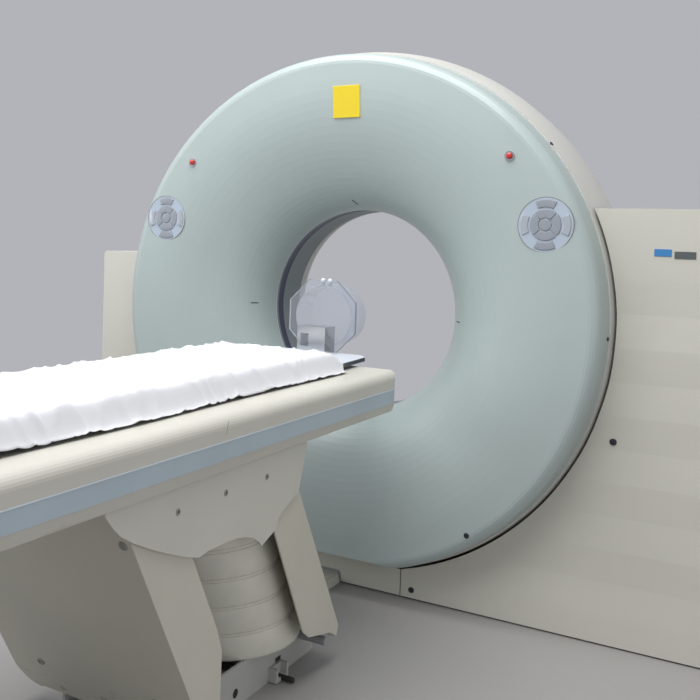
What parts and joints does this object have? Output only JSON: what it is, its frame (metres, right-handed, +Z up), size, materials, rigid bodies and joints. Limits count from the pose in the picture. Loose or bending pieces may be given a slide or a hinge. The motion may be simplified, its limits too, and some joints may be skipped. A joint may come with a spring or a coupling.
{
  "type": "ct scanner",
  "caption": "Tilting ring gantry between two floor cabinets, with a spinning rotor inside, a lifting patient table with a sliding top, and a water phantom on its head end.",
  "frame": {"origin": "on the floor, straight under the scan centre of the ring", "axes": "+Y runs along the bore from the table into the ring, +X to the right seen from the table, +Z up"},
  "size_m": [2.232, 3.145, 1.846],
  "materials": {
    "mint_cover": "satin paint on moulded plastic",
    "cream_cover": "satin paint on moulded plastic",
    "steel_frame": "grey painted steel",
    "grey_plastic": "matt grey plastic",
    "dark_window": "smooth dark blue film",
    "copper_coils": "wound coils and brass tracks",
    "panel_blue": "pale blue-grey plastic",
    "key_grey": "silvery grey keys",
    "button_red": "red plastic",
    "bright_metal": "bright metal",
    "tube_housing": "painted housing",
    "detector_dark": "dark painted housing",
    "base_paint": "grey-white powder coat",
    "motor_grey": "dark grey casting",
    "bellows_vinyl": "stitched grey vinyl",
    "band_blue": "blue-grey band",
    "board_dark": "dark laminate with a light top",
    "pad_white": "white covered foam pad",
    "phantom_clear": "clear acrylic"
  },
  "bodies": {
    "floor_base": {"gantry_base_frame": "steel_frame", "gantry_stands": "steel_frame", "left_cabinet": "cream_cover", "right_cabinet": "cream_cover", "kick_strips": "cream_cover", "cable_duct": "cream_cover", "table_base": "base_paint", "lift_gearmotor": "motor_grey", "lift_bellows": "bellows_vinyl"},
    "tilting_ring": {"tilt_frame": "steel_frame", "front_cover": "mint_cover", "drum_shell": "cream_cover", "rear_cover": "cream_cover", "front_lip": "grey_plastic", "scan_window": "dark_window", "bore_tube": "grey_plastic", "bearing_race": "steel_frame", "drive_stator": "copper_coils", "left_key_panel": "panel_blue", "right_key_panel": "panel_blue", "button_collars": "bright_metal"},
    "rotor": {"rotor_disc": "steel_frame", "xray_tube": "tube_housing", "collimator": "tube_housing", "detector_arc": "detector_dark", "hv_generator": "tube_housing", "slip_ring": "copper_coils"},
    "front_lift_arm": {"front_arm": "steel_frame", "front_arm_cover": "cream_cover"},
    "rear_lift_arm": {"rear_arm": "steel_frame", "foot_side_cover": "cream_cover"},
    "table_body": {"table_frame": "steel_frame", "table_shell": "cream_cover", "side_bands": "band_blue", "table_skirt": "cream_cover"},
    "sliding_top": {"tabletop": "board_dark", "carriage": "steel_frame", "mattress": "pad_white", "phantom_bracket": "bright_metal", "phantom_jar": "phantom_clear"},
    "left_key_centre_cap": {"left_key_centre": "key_grey"},
    "left_key_ring_1_cap": {"left_key_ring_1": "key_grey"},
    "left_key_ring_2_cap": {"left_key_ring_2": "key_grey"},
    "left_key_ring_3_cap": {"left_key_ring_3": "key_grey"},
    "left_key_ring_4_cap": {"left_key_ring_4": "key_grey"},
    "left_key_outer_1_cap": {"left_key_outer_1": "key_grey"},
    "left_key_outer_2_cap": {"left_key_outer_2": "key_grey"},
    "left_key_outer_3_cap": {"left_key_outer_3": "key_grey"},
    "left_key_outer_4_cap": {"left_key_outer_4": "key_grey"},
    "right_key_centre_cap": {"right_key_centre": "key_grey"},
    "right_key_ring_1_cap": {"right_key_ring_1": "key_grey"},
    "right_key_ring_2_cap": {"right_key_ring_2": "key_grey"},
    "right_key_ring_3_cap": {"right_key_ring_3": "key_grey"},
    "right_key_ring_4_cap": {"right_key_ring_4": "key_grey"},
    "right_key_outer_1_cap": {"right_key_outer_1": "key_grey"},
    "right_key_outer_2_cap": {"right_key_outer_2": "key_grey"},
    "right_key_outer_3_cap": {"right_key_outer_3": "key_grey"},
    "right_key_outer_4_cap": {"right_key_outer_4": "key_grey"},
    "left_push_button_cap": {"left_push_button": "button_red"},
    "right_push_button_cap": {"right_push_button": "button_red"}
  },
  "joints": [
    {"name": "gantry_tilt", "type": "hinge", "parent": "floor_base", "child": "tilting_ring", "pos_m": [0, 0, 0.942], "axis": [-1, 0, 0], "range_deg": [-30, 30]},
    {"name": "rotor_spin", "type": "hinge", "parent": "tilting_ring", "child": "rotor", "pos_m": [0, 0, 0.942], "axis": [0, 1, 0], "continuous": true},
    {"name": "table_lift", "type": "hinge", "parent": "floor_base", "child": "front_lift_arm", "pos_m": [0, -0.8, 0.085], "axis": [-1, 0, 0], "range_deg": [-46.5, 0], "deforming": ["lift_bellows"]},
    {"name": "table_level", "type": "hinge", "parent": "front_lift_arm", "child": "table_body", "pos_m": [0, -1.08288, 0.606], "axis": [-1, 0, 0], "range_deg": [0, 46.5]},
    {"name": "rear_arm_swing", "type": "hinge", "parent": "floor_base", "child": "rear_lift_arm", "pos_m": [0, -1.352, 0.085], "axis": [-1, 0, 0], "range_deg": [-46.5, 0]},
    {"name": "tabletop_slide", "type": "slide", "parent": "table_body", "child": "sliding_top", "axis": [0, 1, 0], "range_m": [0, 1.5]},
    {"name": "left_key_centre_press", "type": "slide", "parent": "tilting_ring", "child": "left_key_centre_cap", "axis": [-0.0383, 0.9991, 0.017], "range_m": [0, 0.0015], "stiffness_N_per_m": 1000, "springref_m": -0.0005},
    {"name": "left_key_ring_1_press", "type": "slide", "parent": "tilting_ring", "child": "left_key_ring_1_cap", "axis": [-0.0383, 0.9991, 0.017], "range_m": [0, 0.0015], "stiffness_N_per_m": 1000, "springref_m": -0.0005},
    {"name": "left_key_ring_2_press", "type": "slide", "parent": "tilting_ring", "child": "left_key_ring_2_cap", "axis": [-0.0383, 0.9991, 0.017], "range_m": [0, 0.0015], "stiffness_N_per_m": 1000, "springref_m": -0.0005},
    {"name": "left_key_ring_3_press", "type": "slide", "parent": "tilting_ring", "child": "left_key_ring_3_cap", "axis": [-0.0383, 0.9991, 0.017], "range_m": [0, 0.0015], "stiffness_N_per_m": 1000, "springref_m": -0.0005},
    {"name": "left_key_ring_4_press", "type": "slide", "parent": "tilting_ring", "child": "left_key_ring_4_cap", "axis": [-0.0383, 0.9991, 0.017], "range_m": [0, 0.0015], "stiffness_N_per_m": 1000, "springref_m": -0.0005},
    {"name": "left_key_outer_1_press", "type": "slide", "parent": "tilting_ring", "child": "left_key_outer_1_cap", "axis": [-0.0383, 0.9991, 0.017], "range_m": [0, 0.0015], "stiffness_N_per_m": 1000, "springref_m": -0.0005},
    {"name": "left_key_outer_2_press", "type": "slide", "parent": "tilting_ring", "child": "left_key_outer_2_cap", "axis": [-0.0383, 0.9991, 0.017], "range_m": [0, 0.0015], "stiffness_N_per_m": 1000, "springref_m": -0.0005},
    {"name": "left_key_outer_3_press", "type": "slide", "parent": "tilting_ring", "child": "left_key_outer_3_cap", "axis": [-0.0383, 0.9991, 0.017], "range_m": [0, 0.0015], "stiffness_N_per_m": 1000, "springref_m": -0.0005},
    {"name": "left_key_outer_4_press", "type": "slide", "parent": "tilting_ring", "child": "left_key_outer_4_cap", "axis": [-0.0383, 0.9991, 0.017], "range_m": [0, 0.0015], "stiffness_N_per_m": 1000, "springref_m": -0.0005},
    {"name": "right_key_centre_press", "type": "slide", "parent": "tilting_ring", "child": "right_key_centre_cap", "axis": [0.0383, 0.9991, 0.017], "range_m": [0, 0.0015], "stiffness_N_per_m": 1000, "springref_m": -0.0005},
    {"name": "right_key_ring_1_press", "type": "slide", "parent": "tilting_ring", "child": "right_key_ring_1_cap", "axis": [0.0383, 0.9991, 0.017], "range_m": [0, 0.0015], "stiffness_N_per_m": 1000, "springref_m": -0.0005},
    {"name": "right_key_ring_2_press", "type": "slide", "parent": "tilting_ring", "child": "right_key_ring_2_cap", "axis": [0.0383, 0.9991, 0.017], "range_m": [0, 0.0015], "stiffness_N_per_m": 1000, "springref_m": -0.0005},
    {"name": "right_key_ring_3_press", "type": "slide", "parent": "tilting_ring", "child": "right_key_ring_3_cap", "axis": [0.0383, 0.9991, 0.017], "range_m": [0, 0.0015], "stiffness_N_per_m": 1000, "springref_m": -0.0005},
    {"name": "right_key_ring_4_press", "type": "slide", "parent": "tilting_ring", "child": "right_key_ring_4_cap", "axis": [0.0383, 0.9991, 0.017], "range_m": [0, 0.0015], "stiffness_N_per_m": 1000, "springref_m": -0.0005},
    {"name": "right_key_outer_1_press", "type": "slide", "parent": "tilting_ring", "child": "right_key_outer_1_cap", "axis": [0.0383, 0.9991, 0.017], "range_m": [0, 0.0015], "stiffness_N_per_m": 1000, "springref_m": -0.0005},
    {"name": "right_key_outer_2_press", "type": "slide", "parent": "tilting_ring", "child": "right_key_outer_2_cap", "axis": [0.0383, 0.9991, 0.017], "range_m": [0, 0.0015], "stiffness_N_per_m": 1000, "springref_m": -0.0005},
    {"name": "right_key_outer_3_press", "type": "slide", "parent": "tilting_ring", "child": "right_key_outer_3_cap", "axis": [0.0383, 0.9991, 0.017], "range_m": [0, 0.0015], "stiffness_N_per_m": 1000, "springref_m": -0.0005},
    {"name": "right_key_outer_4_press", "type": "slide", "parent": "tilting_ring", "child": "right_key_outer_4_cap", "axis": [0.0383, 0.9991, 0.017], "range_m": [0, 0.0015], "stiffness_N_per_m": 1000, "springref_m": -0.0005},
    {"name": "left_push_button_press", "type": "slide", "parent": "tilting_ring", "child": "left_push_button_cap", "axis": [0, 1, 0], "range_m": [0, 0.003], "stiffness_N_per_m": 1500, "springref_m": -0.001},
    {"name": "right_push_button_press", "type": "slide", "parent": "tilting_ring", "child": "right_push_button_cap", "axis": [0, 1, 0], "range_m": [0, 0.003], "stiffness_N_per_m": 1500, "springref_m": -0.001}
  ],
  "couplings": [
    {"joint": "table_level", "follows": "table_lift", "ratio": -1},
    {"joint": "rear_arm_swing", "follows": "table_lift", "ratio": 1}
  ]
}
